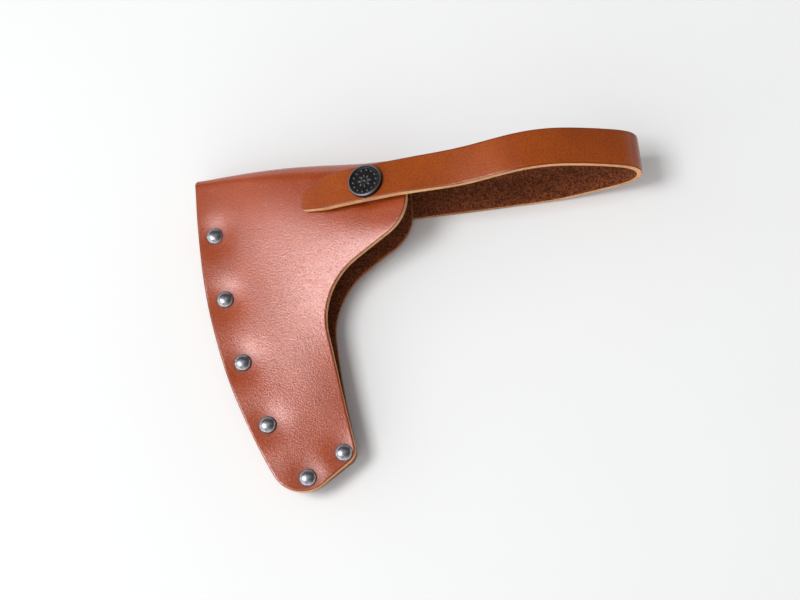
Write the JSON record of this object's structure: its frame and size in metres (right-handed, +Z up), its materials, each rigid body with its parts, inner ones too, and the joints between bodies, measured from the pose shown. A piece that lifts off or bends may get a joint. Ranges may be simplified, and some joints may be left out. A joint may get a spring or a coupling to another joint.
{
  "type": "hatchet sheath",
  "caption": "Folded leather edge sheath for a hatchet, riveted along the cutting edge, with a strap loop that closes with a press snap.",
  "frame": {"origin": "middle of the footprint, on the surface the sheath lies on", "axes": "+Z up from the back panel to the front panel, +X towards the strap loop, +Y towards the folded spine"},
  "size_m": [0.1933, 0.1456, 0.0421],
  "materials": {
    "sheath_leather": "satin, vegetable tanned, reddish brown",
    "strap_leather": "satin, vegetable tanned, orange brown",
    "welt_leather": "undyed, matte",
    "rivet_nickel": "dark nickel, polished",
    "tie_rivet_metal": "dark nickel",
    "snap_cap_metal": "gunmetal, satin",
    "snap_metal": "nickel",
    "spring_steel": "bright wire"
  },
  "bodies": {
    "sheath": {"sheath_body": "sheath_leather", "welt": "welt_leather", "rivet_post_1": "rivet_nickel", "rivet_cap_1": "rivet_nickel", "rivet_post_2": "rivet_nickel", "rivet_cap_2": "rivet_nickel", "rivet_post_3": "rivet_nickel", "rivet_cap_3": "rivet_nickel", "rivet_post_4": "rivet_nickel", "rivet_cap_4": "rivet_nickel", "rivet_post_5": "rivet_nickel", "rivet_cap_5": "rivet_nickel", "rivet_post_6": "rivet_nickel", "rivet_cap_6": "rivet_nickel", "strap_rivet_post_1": "tie_rivet_metal", "strap_rivet_cap_1": "tie_rivet_metal", "strap_rivet_post_2": "tie_rivet_metal", "strap_rivet_cap_2": "tie_rivet_metal", "strap_back_run": "strap_leather", "snap_stud": "snap_metal", "snap_post": "snap_metal"},
    "bend_lower": {"strap_bend_lower": "strap_leather"},
    "bend_end": {"strap_bend_end": "strap_leather"},
    "bend_upper": {"strap_bend_upper": "strap_leather"},
    "strap_front": {"strap_front_run": "strap_leather", "snap_cap": "snap_cap_metal", "snap_socket": "snap_metal", "snap_spring": "spring_steel"}
  },
  "joints": [
    {"name": "strap_flex_1", "type": "hinge", "parent": "sheath", "child": "bend_lower", "pos_m": [0.06809, 0.05189, 0.0027], "axis": [0, 1, 0], "range_deg": [0, 30]},
    {"name": "strap_flex_2", "type": "hinge", "parent": "bend_lower", "child": "bend_end", "pos_m": [0.08922, 0.05189, 0.00916], "axis": [0, 1, 0], "range_deg": [0, 30]},
    {"name": "strap_flex_3", "type": "hinge", "parent": "bend_end", "child": "bend_upper", "pos_m": [0.09021, 0.05189, 0.02888], "axis": [0, 1, 0], "range_deg": [0, 30]},
    {"name": "strap_flex_4", "type": "hinge", "parent": "bend_upper", "child": "strap_front", "pos_m": [0.06976, 0.05189, 0.03747], "axis": [0, 1, 0], "range_deg": [0, 30]}
  ],
  "couplings": [
    {"joint": "strap_flex_2", "follows": "strap_flex_1", "ratio": 1},
    {"joint": "strap_flex_3", "follows": "strap_flex_1", "ratio": 1},
    {"joint": "strap_flex_4", "follows": "strap_flex_1", "ratio": 1}
  ]
}
